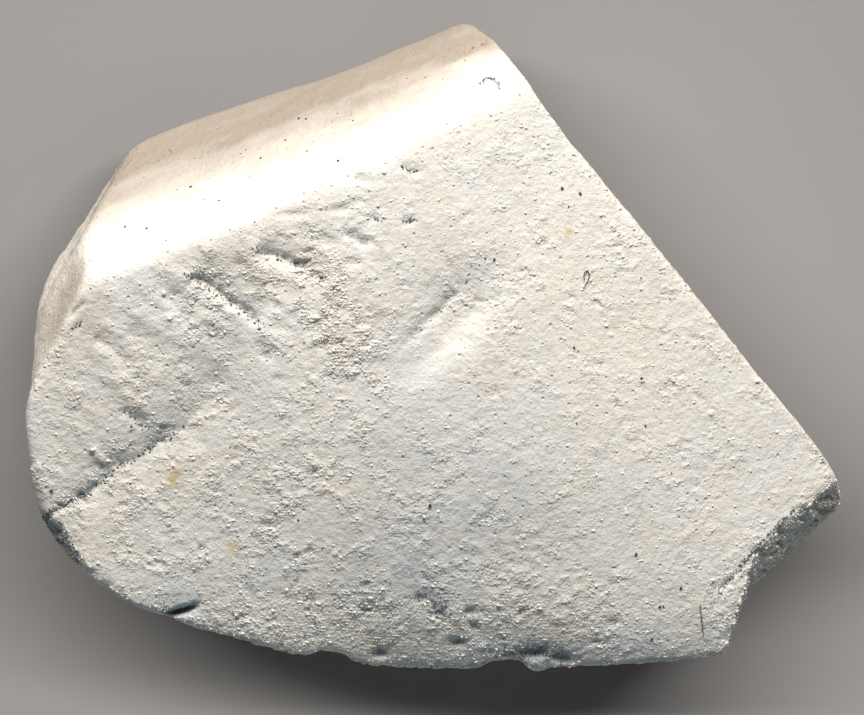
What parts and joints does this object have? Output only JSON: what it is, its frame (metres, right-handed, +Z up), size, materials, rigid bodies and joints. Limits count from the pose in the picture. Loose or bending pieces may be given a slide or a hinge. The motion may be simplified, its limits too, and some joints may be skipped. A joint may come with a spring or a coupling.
{
  "type": "chalk rock",
  "caption": "Hand-sized lump of white chalk: a big pale face, a smoother bright band along one side, blunt broken walls and a chipped corner.",
  "frame": {"origin": "centre of the rock's plan outline, at the small flat spot that it rests on", "axes": "+Z up, out of the big pale face; +X along the longest extent, toward the pointed tip; +Y toward the bright band"},
  "size_m": [0.0692, 0.054, 0.0333],
  "materials": {
    "chalk": "dry, matt and finely granular"
  },
  "bodies": {
    "root": {"chalk_rock": "chalk"}
  },
  "joints": []
}
